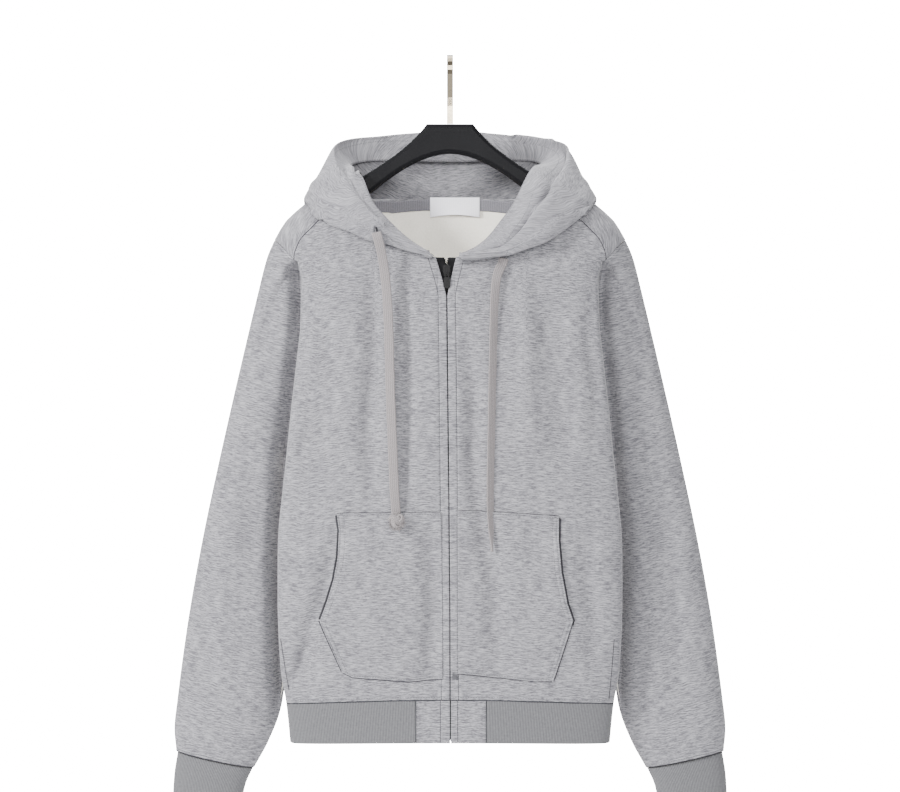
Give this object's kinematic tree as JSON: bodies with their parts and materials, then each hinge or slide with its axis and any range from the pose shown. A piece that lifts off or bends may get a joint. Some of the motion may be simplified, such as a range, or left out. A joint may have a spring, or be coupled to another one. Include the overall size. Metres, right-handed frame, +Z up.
{
  "type": "zip up hoodie on a hanger",
  "caption": "Long-sleeved zip up hoodie hung by its shoulders on a plain hanger with a flat hook, its hood folded back over the shoulders.",
  "frame": {"origin": "inner top of the hanger's hook, where it rests on a rail", "axes": "+Z up, the front and its zip face -Y, +X to the viewer's right as seen from the front"},
  "size_m": [0.7282, 0.1754, 0.9864],
  "materials": {
    "marl": "grey marl fleece",
    "rib": "grey marl rib",
    "tape": "grey twill tape",
    "label": "white satin, blank",
    "cord": "beige grey braid",
    "zip_tape": "black woven tape",
    "zip_metal": "black enamel",
    "hanger_plastic": "near black, matte",
    "hook_metal": "polished nickel"
  },
  "bodies": {
    "garment": {"front_left": "marl", "front_right": "marl", "back": "marl", "pocket_left": "marl", "pocket_right": "marl", "sleeve_left": "marl", "sleeve_right": "marl", "cuff_left": "rib", "cuff_right": "rib", "hem_rib": "rib", "hem_tab_left": "marl", "hem_tab_right": "marl", "hood": "marl", "neck_tape": "tape", "neck_label": "label", "zip_tape_left": "zip_tape", "zip_tape_right": "zip_tape", "zip_slider": "zip_metal", "hanger_body": "hanger_plastic", "hanger_hook": "hook_metal", "drawcord_left": "cord", "drawcord_right": "cord", "drawcord_knot": "cord"},
    "pull_tab": {"zip_pull": "zip_metal"}
  },
  "joints": [
    {"name": "pull_tab_swing", "type": "hinge", "parent": "garment", "child": "pull_tab", "pos_m": [-0.0039, -0.0546, -0.2827], "axis": [-1, 0, 0], "range_deg": [0, 150]}
  ]
}
